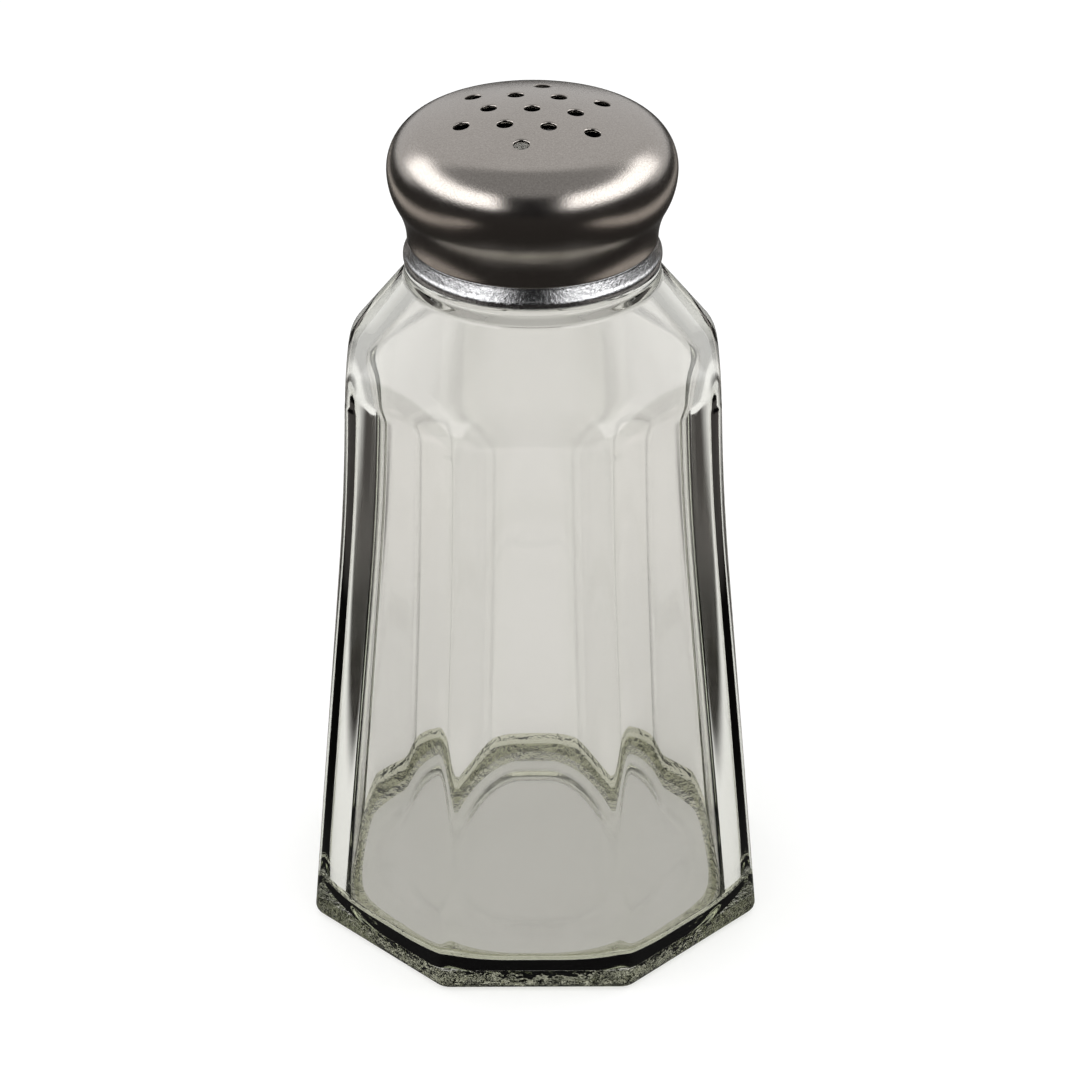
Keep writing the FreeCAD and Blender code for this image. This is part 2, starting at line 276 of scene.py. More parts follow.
class Graph:
    """A short way to add and join the nodes of one node tree."""

    def __init__(self, tree: bpy.types.NodeTree) -> None:
        """Start with an empty tree."""
        self.tree = tree
        self.tree.nodes.clear()

    def add(self, kind: str, **settings: object) -> bpy.types.Node:
        """Add a node and set its properties.

        Args:
            kind: The node's type name.
            settings: The properties to set.

        Returns:
            The node.
        """
        node = self.tree.nodes.new(kind)
        for name, value in settings.items():
            setattr(node, name, value)
        return node

    def join(self, source: bpy.types.NodeSocket, target: bpy.types.NodeSocket) -> None:
        """Link an output to an input."""
        self.tree.links.new(source, target)

    def feed(self, target: bpy.types.NodeSocket, value: bpy.types.NodeSocket | float | Colour) -> None:
        """Link an output to an input, or set the input to a plain number or colour.

        Args:
            target: The input.
            value: The output, number or colour.
        """
        if isinstance(value, float):
            target.default_value = value
        elif isinstance(value, tuple):
            target.default_value = (*value, 1.0)
        else:
            self.join(value, target)

    def noise(
        self,
        vector: bpy.types.NodeSocket,
        scale: bpy.types.NodeSocket | float,
        detail: float = 3.0,
        roughness: float = 0.5,
        distortion: float = 0.0,
    ) -> bpy.types.NodeSocket:
        """Return the factor of a noise texture.

        Args:
            vector: Where the texture is read.
            scale: How fine its features are.
            detail: How many finer layers it has.
            roughness: The share of the finer layers.
            distortion: How far its features are pulled about.

        Returns:
            The factor, from 0 to 1.
        """
        node = self.add("ShaderNodeTexNoise")
        self.join(vector, node.inputs["Vector"])
        for name, value in (
            ("Scale", scale), ("Detail", detail), ("Roughness", roughness), ("Distortion", distortion)
        ):
            self.feed(node.inputs[name], value)
        return node.outputs["Fac"]

    def remap(
        self, value: bpy.types.NodeSocket, low: float, high: float, to_low: float = 0.0, to_high: float = 1.0
    ) -> bpy.types.NodeSocket:
        """Return a value carried from one range to another and held inside it.

        Args:
            value: The value.
            low: The low end of its range.
            high: The high end of its range.
            to_low: What the low end becomes.
            to_high: What the high end becomes.

        Returns:
            The carried value.
        """
        node = self.add("ShaderNodeMapRange", clamp=True)
        for name, number in (("From Min", low), ("From Max", high), ("To Min", to_low), ("To Max", to_high)):
            node.inputs[name].default_value = number
        self.join(value, node.inputs["Value"])
        return node.outputs["Result"]

    def step(self, value: bpy.types.NodeSocket, low: float, high: float) -> bpy.types.NodeSocket:
        """Return a soft step from 0 to 1.

        Args:
            value: The value that climbs.
            low: Where the step starts.
            high: Where the step ends.

        Returns:
            The step's height, from 0 to 1.
        """
        node = self.add("ShaderNodeMapRange", interpolation_type="SMOOTHSTEP")
        node.inputs["From Min"].default_value = low
        node.inputs["From Max"].default_value = high
        self.join(value, node.inputs["Value"])
        return node.outputs["Result"]

    def math(
        self, operation: str, first: bpy.types.NodeSocket | float, second: bpy.types.NodeSocket | float
    ) -> bpy.types.NodeSocket:
        """Return the result of a two-value operation.

        Args:
            operation: The operation's name.
            first: The first value, from a node or plain.
            second: The second value, from a node or plain.

        Returns:
            The result.
        """
        node = self.add("ShaderNodeMath", operation=operation)
        self.feed(node.inputs[0], first)
        self.feed(node.inputs[1], second)
        return node.outputs[0]

    def mix(
        self, share: bpy.types.NodeSocket, first: bpy.types.NodeSocket | Colour, second: Colour
    ) -> bpy.types.NodeSocket:
        """Return a colour mixed from two.

        Args:
            share: The second colour's share.
            first: The first colour, from a node or plain.
            second: The second colour.

        Returns:
            The mixed colour.
        """
        node = self.add("ShaderNodeMix", data_type="RGBA")
        self.join(share, node.inputs[0])
        self.feed(node.inputs[MIX_FIRST], first)
        self.feed(node.inputs[MIX_SECOND], second)
        return node.outputs[MIX_RESULT]

    def bump(self, height: bpy.types.NodeSocket, distance: float) -> bpy.types.NodeSocket:
        """Return the normal of a relief.

        Args:
            height: The relief's height.
            distance: How deep a height of 1 is, in metres.

        Returns:
            The normal.
        """
        node = self.add("ShaderNodeBump")
        node.inputs["Distance"].default_value = distance
        self.join(height, node.inputs["Height"])
        return node.outputs["Normal"]

    def mirrored(self, path: bpy.types.Node) -> bpy.types.NodeSocket:
        """Return 1 for rays that a surface mirrored, and 0 for those that went through glass."""
        direct = self.math("SUBTRACT", 1.0, path.outputs["Is Transmission Ray"])
        return self.math("MULTIPLY", path.outputs["Is Glossy Ray"], direct)

    def bent(self, path: bpy.types.Node) -> bpy.types.NodeSocket:
        """Return 1 for rays that a mirror or glass sent on."""
        return self.math("MAXIMUM", path.outputs["Is Glossy Ray"], path.outputs["Is Transmission Ray"])

    def mix_shader(
        self, share: bpy.types.NodeSocket, first: bpy.types.Node, second: bpy.types.Node
    ) -> bpy.types.Node:
        """Return a shader mixed from two.

        Args:
            share: The second shader's share.
            first: The first shader.
            second: The second shader.

        Returns:
            The mixing node.
        """
        node = self.add("ShaderNodeMixShader")
        for number, source in enumerate((share, first.outputs[0], second.outputs[0])):
            self.join(source, node.inputs[number])
        return node

    def show(self, shader: bpy.types.Node, kind: str = "ShaderNodeOutputMaterial") -> bpy.types.Node:
        """Join a shader to the surface of a new output node and return that node."""
        output = self.add(kind)
        self.join(shader.outputs[0], output.inputs["Surface"])
        return output


def new_group(
    effect: Effect, usual: dict[str, float], outputs: Sequence[str]
) -> tuple[bpy.types.NodeTree, Graph, bpy.types.Node, bpy.types.Node]:
    """Start a node group of float inputs and outputs.

    Args:
        effect: The effect that the group makes.
        usual: The inputs and their usual values.
        outputs: The outputs.

    Returns:
        The group, its graph, its input node and its output node.
    """
    group = bpy.data.node_groups.new(effect.value, "ShaderNodeTree")
    for label, value in usual.items():
        socket = group.interface.new_socket(label, in_out="INPUT", socket_type="NodeSocketFloat")
        socket.default_value = value
    for label in outputs:
        group.interface.new_socket(label, in_out="OUTPUT", socket_type="NodeSocketFloat")
    graph = Graph(group)
    return group, graph, graph.add("NodeGroupInput"), graph.add("NodeGroupOutput")


def grain_group() -> bpy.types.NodeTree:
    """Build the effect of fine metal grain with rubbed patches.

    Returns:
        A group that puts out Height, Tone and Rub from Scale and Patch.
    """
    usual = {"Scale": 4000.0, "Patch": 120.0}
    group, graph, inside, outside = new_group(Effect.GRAIN, usual, ("Height", "Tone", "Rub"))
    place = graph.add("ShaderNodeTexCoord").outputs["Object"]
    fine = graph.noise(place, inside.outputs["Scale"], detail=4.0, roughness=0.65)
    patch = graph.noise(place, inside.outputs["Patch"], detail=5.0)
    graph.join(fine, outside.inputs["Height"])
    graph.join(graph.remap(fine, 0.3, 0.7), outside.inputs["Tone"])
    graph.join(graph.remap(patch, 0.35, 0.7), outside.inputs["Rub"])
    return group


def handling_group() -> bpy.types.NodeTree:
    """Build the effect of faint smudges left by handling.

    Returns:
        A group that puts out Smudge from Scale and Amount.
    """
    group, graph, inside, outside = new_group(Effect.HANDLING, {"Scale": 60.0, "Amount": 1.0}, ("Smudge",))
    place = graph.add("ShaderNodeTexCoord").outputs["Object"]
    cloud = graph.noise(place, inside.outputs["Scale"], detail=6.0, distortion=0.8)
    smudge = graph.math("MULTIPLY", graph.remap(cloud, 0.48, 0.75), inside.outputs["Amount"])
    graph.join(smudge, outside.inputs["Smudge"])
    return group


def stipple_group() -> bpy.types.NodeTree:
    """Build the effect of the pebbled texture that the mould leaves round the foot.

    Returns:
        A group that puts out Height and Foot from Scale, Low and Ring, the last two in metres.
    """
    usual = {"Scale": 1100.0, "Low": 0.0028, "Ring": 0.0215}
    group, graph, inside, outside = new_group(Effect.STIPPLE, usual, ("Height", "Foot"))
    place = graph.add("ShaderNodeTexCoord").outputs["Object"]
    pebbles = graph.noise(place, inside.outputs["Scale"], detail=2.0)
    parts = graph.add("ShaderNodeSeparateXYZ")
    graph.join(place, parts.inputs[0])
    level = graph.add("ShaderNodeVectorMath", operation="MULTIPLY")
    graph.join(place, level.inputs[0])
    level.inputs[1].default_value = ACROSS_AXIS
    reach = graph.add("ShaderNodeVectorMath", operation="LENGTH")
    graph.join(level.outputs[0], reach.inputs[0])
    below = graph.math("LESS_THAN", parts.outputs["Z"], inside.outputs["Low"])
    beyond = graph.math("GREATER_THAN", reach.outputs["Value"], inside.outputs["Ring"])
    foot = graph.math("MULTIPLY", below, beyond)
    graph.join(graph.math("MULTIPLY", foot, pebbles), outside.inputs["Height"])
    graph.join(foot, outside.inputs["Foot"])
    return group


EFFECT_BUILDERS: dict[Effect, Callable[[], bpy.types.NodeTree]] = {
    Effect.GRAIN: grain_group,
    Effect.HANDLING: handling_group,
    Effect.STIPPLE: stipple_group,
}


def place_effect(graph: Graph, effect: Effect, **values: float) -> bpy.types.Node:
    """Place an effect's node group, built the first time that it is wanted, and set its inputs.

    Args:
        graph: The graph to place it in.
        effect: The effect.
        values: The inputs to set, by name.

    Returns:
        The group's node.
    """
    tree = bpy.data.node_groups.get(effect.value) or EFFECT_BUILDERS[effect]()
    node = graph.add("ShaderNodeGroup", node_tree=tree)
    for name, value in values.items():
        node.inputs[name].default_value = value
    return node


def new_material(name: str) -> tuple[bpy.types.Material, Graph]:
    """Start an empty node material."""
    material = bpy.data.materials.new(name)
    material.use_nodes = True
    return material, Graph(material.node_tree)


# The finishes


@dataclass(frozen=True)
class ClearGlass:
    """Clear soda glass with a faint olive body tint, handling marks and a pebbled foot whose ring is tinted
    darker olive as painted shade where it stands on the table.
    """

    tint: Colour = (0.815, 0.803, 0.787)
    rubbed: Colour = (0.79, 0.778, 0.76)
    # Painted shade: the darker olive of the foot ring where the jar stands on the table
    foot_shade_tint: Colour = (0.50, 0.50, 0.36)
    index: float = 1.52
    polish: float = 0.0
    smudged: float = 0.035
    smudge_scale: float = 70.0
    smudge_amount: float = 0.6
    body_colour: Colour = (0.5, 0.6, 0.25)
    body_density: float = 14.0
    shadow_tint: Colour = (0.975, 0.975, 0.975)
    ripple_scale: float = 90.0
    ripple_detail: float = 2.0
    ripple: float = 0.012
    stipple_scale: float = 800.0
    stipple: float = 0.6

    def build(self) -> bpy.types.Material:
        """Build the glass: a refracting skin over a faintly absorbing body.

        Returns:
            The material.
        """
        material, graph = new_material("clear_glass_finish")
        marks = place_effect(graph, Effect.HANDLING, Scale=self.smudge_scale, Amount=self.smudge_amount)
        smudge = marks.outputs["Smudge"]
        stipple = place_effect(graph, Effect.STIPPLE, Scale=self.stipple_scale)
        place = graph.add("ShaderNodeTexCoord").outputs["Object"]
        waves = graph.noise(place, self.ripple_scale, self.ripple_detail)
        pebbles = graph.math("MULTIPLY", stipple.outputs["Height"], self.stipple)
        relief = graph.math("ADD", graph.math("MULTIPLY", waves, self.ripple), pebbles)
        skin = graph.add("ShaderNodeBsdfPrincipled")
        skin.inputs["IOR"].default_value = self.index
        skin.inputs["Transmission Weight"].default_value = 1.0
        clean = graph.mix(smudge, self.tint, self.rubbed)
        # The foot ring's pebbled relief is the mould's; its darker tint is painted shade
        graph.join(graph.mix(stipple.outputs["Foot"], clean, self.foot_shade_tint), skin.inputs["Base Color"])
        graph.join(graph.remap(smudge, 0.0, 1.0, self.polish, self.smudged), skin.inputs["Roughness"])
        graph.join(graph.bump(relief, MM), skin.inputs["Normal"])
        clear = graph.add("ShaderNodeBsdfTransparent")
        clear.inputs["Color"].default_value = (*self.shadow_tint, 1.0)
        path = graph.add("ShaderNodeLightPath")
        output = graph.show(graph.mix_shader(path.outputs["Is Shadow Ray"], skin, clear))
        body = graph.add("ShaderNodeVolumeAbsorption")
        body.inputs["Color"].default_value = (*self.body_colour, 1.0)
        body.inputs["Density"].default_value = self.body_density
        graph.join(body.outputs[0], output.inputs["Volume"])
        return material


@dataclass(frozen=True)
class GrainyMetal:
    """Metal with fine grain, rubbed patches, smudges, and convex edges made brighter: partly wear, partly a
    painted highlight.
    """

    name: str
    dark: Colour
    light: Colour
    rough_low: float
    rough_high: float
    grain_scale: float
    grain_depth: float
    grain_share: float = 0.6
    patch_scale: float = 120.0
    rub_share: float = 0.7
    rub_span: float = 1.2
    # How far the convex edges brighten: partly wear, partly a painted highlight
    wear_and_highlight: float = 0.8
    bright_edge_from: float = 0.56
    bright_edge_to: float = 0.64
    smudge_scale: float = 110.0
    smudge_amount: float = 0.5
    smudge_shade: float = 0.15

    def build(self) -> bpy.types.Material:
        """Build the metal from its grain, its brighter edges (wear and painted highlight) and handling
        marks.

        Returns:
            The material.
        """
        material, graph = new_material(self.name)
        grain = place_effect(graph, Effect.GRAIN, Scale=self.grain_scale, Patch=self.patch_scale)
        marks = place_effect(graph, Effect.HANDLING, Scale=self.smudge_scale, Amount=self.smudge_amount)
        smudge = marks.outputs["Smudge"]
        edges = graph.add("ShaderNodeNewGeometry").outputs["Pointiness"]
        # Convex edges, found by pointiness, are lifted towards the light colour: partly wear, partly a
        # painted highlight where light catches the edges
        worn_and_highlit = graph.remap(edges, self.bright_edge_from, self.bright_edge_to, 0.0, self.wear_and_highlight)
        tone = graph.math("ADD", graph.math("MULTIPLY", grain.outputs["Tone"], self.grain_share), worn_and_highlit)
        tone = graph.math("SUBTRACT", tone, graph.math("MULTIPLY", smudge, self.smudge_shade))
        rough = graph.math("ADD", graph.math("MULTIPLY", grain.outputs["Rub"], self.rub_share), smudge)
        rough = graph.remap(rough, 0.0, self.rub_span, self.rough_low, self.rough_high)
        skin = graph.add("ShaderNodeBsdfPrincipled")
        skin.inputs["Metallic"].default_value = 1.0
        graph.join(graph.mix(tone, self.dark, self.light), skin.inputs["Base Color"])
        graph.join(rough, skin.inputs["Roughness"])
        graph.join(graph.bump(grain.outputs["Height"], self.grain_depth), skin.inputs["Normal"])
        graph.show(skin)
        return material


@dataclass(frozen=True)
class SealLiner:
    """Off-white pressed liner, slightly mottled."""

    pale: Colour = (0.74, 0.72, 0.66)
    dull: Colour = (0.60, 0.58, 0.52)
    mottle_scale: float = 260.0
    rough_pale: float = 0.55
    rough_dull: float = 0.8
    fibre_scale: float = 2500.0
    fibre_depth: float = 0.00005

    def build(self) -> bpy.types.Material:
        """Build the matt liner.

        Returns:
            The material.
        """
        material, graph = new_material("seal_liner_finish")
        mottle = place_effect(graph, Effect.HANDLING, Scale=self.mottle_scale).outputs["Smudge"]
        place = graph.add("ShaderNodeTexCoord").outputs["Object"]
        fibres = graph.bump(graph.noise(place, self.fibre_scale), self.fibre_depth)
        skin = graph.add("ShaderNodeBsdfPrincipled")
        graph.join(graph.mix(mottle, self.pale, self.dull), skin.inputs["Base Color"])
        graph.join(graph.remap(mottle, 0.0, 1.0, self.rough_pale, self.rough_dull), skin.inputs["Roughness"])
        graph.join(fibres, skin.inputs["Normal"])
        graph.show(skin)
        return material


SHELL_STEEL = GrainyMetal(
    name="shell_steel_finish",
    dark=(0.42, 0.385, 0.355),
    light=(0.64, 0.60, 0.56),
    rough_low=0.17,
    rough_high=0.26,
    grain_scale=5200.0,
    grain_depth=0.000012,
    wear_and_highlight=0.0,
)
# The shell's inside is the same steel painted near black: painted shade inside the hollow cap
SHELL_INSIDE_PAINTED_SHADE = GrainyMetal(
    name="shell_inside_painted_shade",
    dark=(0.05, 0.045, 0.04),
    light=(0.11, 0.10, 0.09),
    rough_low=0.45,
    rough_high=0.6,
    grain_scale=3000.0,
    grain_depth=0.00002,
    wear_and_highlight=0.1,
)
SLEEVE_METAL = GrainyMetal(
    name="sleeve_metal_finish",
    dark=(0.42, 0.42, 0.43),
    light=(0.93, 0.93, 0.94),
    rough_low=0.16,
    rough_high=0.30,
    grain_scale=2600.0,
    grain_depth=0.00005,
)


# The jar


@dataclass
class GlassJar:
    """The panelled jar, from its push-up to its rim and down again to the cavity's floor."""

    panels: int = 8
    around: int = 384
    underside_rows: int = 40
    heel_rows: int = 8
    lower_rows: int = 40
    upper_rows: int = 60
    closer_above: float = 60.0
    neck_rows: int = 84
    cavity_upper_rows: int = 44
    cavity_lower_rows: int = 24
    floor_edge_rows: int = 14
    floor_rows: int = 36
    base_half_flat: float = 26.19
    panel_lean: float = 0.09
    lean_ease_low: float = 46.0
    lean_ease: float = 0.0015
    corner_low: float = 1.8
    corner_high: float = 3.2
    heel_radius: float = 1.4
    push_up: float = 1.2
    ledge_half_flat: float = 17.0
    ledge_corner: float = 16.4
    ledge_slope: float = 4.6
    shoulder_low: float = 66.6
    shoulder_reach: float = 23.0
    shoulder_round: float = 4.0
    shoulder_in: float = 0.2
    shoulder_up: float = 0.6
    shoulder_slope: float = 1.5
    shoulder_blend: float = 1.4
    collar_radius: float = 14.2
    collar_low: float = 79.0
    collar_high: float = 80.6
    collar_edge: float = 0.5
    neck_radius: float = 11.8
    rim_height: float = 90.6
    rim_edge: float = 0.6
    wall: float = 2.2
    cavity_corner: float = 16.0
    floor_height: float = 2.0
    floor_round: float = 1.5
    dish_rise: float = 0.7
    dish_width: float = 5.0
    dish_power: float = 2.0
    bore_radius: float = 9.6
    bore_low: float = 79.7
    cavity_shoulder_low: float = 61.8
    cavity_shoulder_reach: float = 24.0
    thread: Helix = Helix(low=82.9, pitch=3.0, turns=1.75, depth=0.85, root=1.4, crest=0.6)

    def panel_radius(self, angle: float, half_flat: float, corner: float) -> float:
        """Return the polar radius of a regular panelled section with rounded corners.

        Args:
            angle: The angle round the axis in radians.
            half_flat: The distance from the axis to a panel.
            corner: The corner's radius.

        Returns:
            The distance from the axis to the section's edge.
        """
        step = TURN / self.panels
        from_flat = (angle + step / 2) % step - step / 2
        from_corner = step / 2 - abs(from_flat)
        reach = (half_flat - corner) / math.cos(step / 2)
        tangent = math.atan2(corner * math.sin(step / 2), reach + corner * math.cos(step / 2))
        if from_corner >= tangent:
            return half_flat / math.cos(from_flat)
        across = reach * math.sin(from_corner)
        return reach * math.cos(from_corner) + math.sqrt(corner * corner - across * across)

    def half_flat(self, level: float) -> float:
        """Return the distance from the axis to a panel at a height: the lean eases off near the shoulder."""
        eased = max(level - self.lean_ease_low, 0.0)
        return self.base_half_flat - self.panel_lean * level + self.lean_ease * eased * eased

    def corner_at(self, level: float) -> float:
        """Return the corner radius at a height: the panels' edges soften upwards."""
        return blend(self.corner_low, self.corner_high, ease(level / self.shoulder_low))

    def shoulder_radius(self, level: float) -> float:
        """Return the turned shoulder's radius at a height.

        Args:
            level: The height in millimetres.

        Returns:
            The radius: wide below the shoulder, then round, then a straight slope to the collar.
        """
        tangent_radius = self.shoulder_reach - self.shoulder_round * self.shoulder_in
        tangent_level = self.shoulder_low + self.shoulder_round * self.shoulder_up
        if level <= self.shoulder_low:
            return self.shoulder_reach + (self.shoulder_low - level) * self.shoulder_slope
        if level <= tangent_level:
            rise = level - self.shoulder_low
            out = math.sqrt(self.shoulder_round ** 2 - rise ** 2)
            return self.shoulder_reach - self.shoulder_round + out
        share = (level - tangent_level) / (self.collar_low - tangent_level)
        return blend(tangent_radius, self.collar_radius, share)

    def outer_radius(self, angle: float, level: float) -> float:
        """Return the outer wall's radius below the collar.

        Args:
            angle: The angle round the axis in radians.
            level: The height in millimetres.

        Returns:
            The distance from the axis to the wall.
        """
        flat = self.panel_radius(angle, self.half_flat(level), self.corner_at(level))
        radius = soft_min(flat, self.shoulder_radius(level), self.shoulder_blend)
        return max(radius, self.collar_radius)

    def inner_radius(self, angle: float, level: float) -> float:
        """Return the cavity's radius below the bore.

        Args:
            angle: The angle round the axis in radians.
            level: The height in millimetres.

        Returns:
            The distance from the axis to the cavity.
        """
        flat = self.panel_radius(angle, self.half_flat(level) - self.wall, self.cavity_corner)
        share = (level - self.cavity_shoulder_low) / (self.bore_low - self.cavity_shoulder_low)
        turned = blend(self.cavity_shoulder_reach, self.bore_radius, share)
        return max(soft_min(flat, turned, self.shoulder_blend), self.bore_radius)

    def kick_up(self, angle: float, radius: float) -> float:
        """Return how far the underside is pushed up at a place."""
        ledge = self.panel_radius(angle, self.ledge_half_flat, self.ledge_corner)
        return self.push_up * ease((ledge + self.ledge_slope / 2 - radius) / self.ledge_slope)

    def floor_level(self, angle: float, radius: float, edge: float) -> float:
        """Return the height of the cavity's dished floor at a place.

        Args:
            angle: The angle round the axis in radians.
            radius: The distance from the axis.
            edge: The radius of the floor's edge at that angle.

        Returns:
            The height in millimetres.
        """
        climb = max(radius - edge + self.dish_width, 0.0) / self.dish_width
        return self.floor_height + self.kick_up(angle, radius) + self.dish_rise * climb ** self.dish_power

    def angles(self) -> list[float]:
        """Return the angles of the columns of vertices."""
        return [TURN * column / self.around for column in range(self.around)]

    @staticmethod
    def levels(start: float, end: float, rows: int) -> list[float]:
        """Return evenly spaced heights from one to another, without the first."""
        return [blend(start, end, row / rows) for row in range(1, rows + 1)]

    def ring(self, radius: Callable[[float], float], level: float | Callable[[float], float]) -> Ring:
        """Return one ring of vertices.

        Args:
            radius: The radius at each angle.
            level: The height, or the height at each angle.

        Returns:
            The ring's vertices in millimetres.
        """
        points = []
        for angle in self.angles():
            reach = radius(angle)
            height = level(angle) if callable(level) else level
            points.append(Vector((reach * math.cos(angle), reach * math.sin(angle), height)))
        return points

    def base_rings(self) -> list[Ring]:
        """Return the rings of the push-up, the resting ring and the rounded heel.

        Returns:
            The rings, from the middle out and up.
        """
        inset = self.heel_radius

        def foot(angle: float) -> float:
            """Return the radius where the flat resting ring meets the heel."""
            return self.panel_radius(angle, self.base_half_flat - inset, self.corner_low)

        rings = []
        for step in range(1, self.underside_rows + 1):
            share = step / self.underside_rows
            rings.append(
                self.ring(
                    lambda angle, share=share: foot(angle) * share,
                    lambda angle, share=share: self.kick_up(angle, foot(angle) * share),
                )
            )
        for step in range(1, self.heel_rows + 1):
            turn = math.radians(90 * step / self.heel_rows)
            level = inset * (1 - math.cos(turn))
            out = inset * (1 - math.sin(turn))
            rings.append(
                self.ring(
                    lambda angle, level=level, out=out: self.panel_radius(
                        angle, self.half_flat(level) - out, self.corner_low
                    ),
                    level,
                )
            )
        return rings

    def wall_rings(self) -> list[Ring]:
        """Return the rings of the outer wall, from the heel to the collar.

        Returns:
            The rings, from below.
        """
        middle = self.closer_above
        levels = self.levels(self.heel_radius, middle, self.lower_rows)
        levels += self.levels(middle, self.collar_low, self.upper_rows)
        return [
            self.ring(lambda angle, level=level: self.outer_radius(angle, level), level) for level in levels
        ]

    def neck_profile(self) -> list[Point]:
        """Return the turned outline of the collar and the foot of the neck.

        Returns:
            The outline's points, from below.
        """
        edge = self.collar_edge
        collar_foot = (self.collar_radius, self.collar_low)
        outline = straight(collar_foot, (self.collar_radius, self.collar_high - edge), steps=4)
        outline += arc((self.collar_radius - edge, self.collar_high - edge), edge, 0, 90, steps=6)[1:]
        outline += straight(outline[-1], (self.neck_radius + edge, self.collar_high), steps=3)
        outline += arc((self.neck_radius + edge, self.collar_high + edge), edge, -90, -180, steps=5)[1:]
        return outline

    def neck_rings(self) -> list[Ring]:
        """Return the rings of the collar, the threaded neck, the rim and the bore.

        Returns:
            The rings, in order.
        """
        rings = [turned_ring(radius, level, self.around) for radius, level in self.neck_profile()]
        low = self.collar_high + self.collar_edge
        high = self.rim_height - self.rim_edge
        for level in self.levels(low, high, self.neck_rows):
            rings.append(
                self.ring(
                    lambda angle, level=level: self.neck_radius + self.thread.height(angle, level), level
                )
            )
        edge = self.rim_edge
        rim = arc((self.neck_radius - edge, high), edge, 0, 90, steps=6)[1:]
        rim += straight(rim[-1], (self.bore_radius + edge, self.rim_height), steps=3)
        rim += arc((self.bore_radius + edge, high), edge, 90, 180, steps=6)[1:]
        rim += straight(rim[-1], (self.bore_radius, self.bore_low), steps=6)
        rings += [turned_ring(radius, level, self.around) for radius, level in rim]
        return rings

    def cavity_rings(self) -> list[Ring]:
        """Return the rings of the cavity, from its shoulder down to its floor.

        Returns:
            The rings, in order.
        """

        def edge(angle: float) -> float:
            """Return the radius of the floor inside its rounded edge."""
            return self.inner_radius(angle, self.floor_height) - self.floor_round

        low = self.floor_height + self.floor_round
        top = low + self.dish_rise
        middle = self.closer_above
        levels = self.levels(self.bore_low, middle, self.cavity_upper_rows)
        levels += self.levels(middle, top, self.cavity_lower_rows)
        rings = [
            self.ring(lambda angle, level=level: self.inner_radius(angle, level), level) for level in levels
        ]
        for step in range(1, self.floor_edge_rows + 1):
            turn = math.radians(90 * step / self.floor_edge_rows)
            level = low + self.dish_rise - self.floor_round * math.sin(turn)
            inset = self.floor_round * (1 - math.cos(turn))
            rings.append(
                self.ring(
                    lambda angle, level=level, inset=inset: self.inner_radius(angle, level) - inset, level
                )
            )
        for step in range(1, self.floor_rows):
            share = 1 - step / self.floor_rows
            rings.append(
                self.ring(
                    lambda angle, share=share: edge(angle) * share,
                    lambda angle, share=share: self.floor_level(angle, edge(angle) * share, edge(angle)),
                )
            )
        return rings

    def build(self) -> bpy.types.Object:
        """Build the jar as one closed glass skin.

        Returns:
            The jar.
        """
        rings = self.base_rings() + self.wall_rings() + self.neck_rings() + self.cavity_rings()
        vertices, faces = skin_rings(rings, closed=False)
        add_pole(vertices, faces, 0, self.around, Vector((0, 0, self.push_up)))
        last = (len(rings) - 1) * self.around
        middle = Vector((0, 0, self.floor_height + self.push_up))
        add_pole(vertices, faces, last, self.around, middle)
        return new_object("jar_glass", vertices, faces)


# The cap


